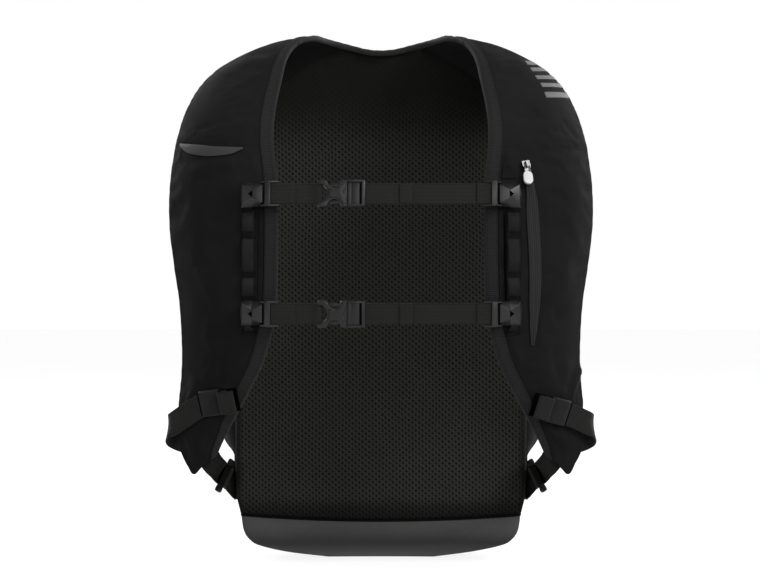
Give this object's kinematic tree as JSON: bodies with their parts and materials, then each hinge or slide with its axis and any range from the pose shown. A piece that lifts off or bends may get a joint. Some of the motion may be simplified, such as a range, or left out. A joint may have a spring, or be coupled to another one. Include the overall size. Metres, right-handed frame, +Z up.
{
  "type": "cycling backpack",
  "caption": "Black cycling backpack with wide vest-like shoulder panels, padded mesh back, buckled chest straps, adjustable lower straps and a grey base.",
  "frame": {"origin": "midway between the two places where the harness sits on the wearer's shoulders", "axes": "+Z up, -Y the way the wearer's chest faces, +X to the right for someone who faces the chest"},
  "size_m": [0.4196, 0.3992, 0.5396],
  "materials": {
    "shell_fabric": "black woven nylon, matt",
    "mesh": "black open spacer mesh over foam",
    "binding": "black ribbed binding tape",
    "webbing": "black woven webbing",
    "reflective_fabric": "grey coated fabric, slightly shiny",
    "zip_tape": "black coated zip, satin",
    "moulded_plastic": "dark grey moulded plastic, satin",
    "slider_metal": "grey metal",
    "pull_plastic": "white moulded plastic"
  },
  "bodies": {
    "pack": {"back_panel": "mesh", "bag_shell": "shell_fabric", "main_zip": "zip_tape", "main_zip_slider": "slider_metal", "base_panel": "reflective_fabric", "neck_piping": "binding", "harness_panel_left": "shell_fabric", "harness_binding_left": "binding", "clip_webbing_left": "webbing", "lower_strap_left": "webbing", "corner_tab_left": "webbing", "ladder_lock_left": "moulded_plastic", "strap_tail_left": "webbing", "tail_keeper_left": "webbing", "harness_panel_right": "shell_fabric", "harness_binding_right": "binding", "clip_webbing_right": "webbing", "lower_strap_right": "webbing", "corner_tab_right": "webbing", "ladder_lock_right": "moulded_plastic", "strap_tail_right": "webbing", "tail_keeper_right": "webbing", "clip_upper_left": "moulded_plastic", "clip_upper_right": "moulded_plastic", "chest_strap_upper_left": "webbing", "chest_strap_upper_right": "webbing", "buckle_socket_upper": "moulded_plastic", "buckle_plug_upper": "moulded_plastic", "clip_lower_left": "moulded_plastic", "clip_lower_right": "moulded_plastic", "chest_strap_lower_left": "webbing", "chest_strap_lower_right": "webbing", "buckle_socket_lower": "moulded_plastic", "buckle_plug_lower": "moulded_plastic", "pocket_tab": "reflective_fabric", "pocket_zip": "zip_tape", "zip_slider": "slider_metal"},
    "pull": {"zip_pull": "pull_plastic"}
  },
  "joints": [
    {"name": "zip_pull_swing", "type": "hinge", "parent": "pack", "child": "pull", "pos_m": [0.13926, -0.13798, -0.1304], "axis": [-0.9388, -0.309, -0.152], "range_deg": [0, 150]}
  ]
}
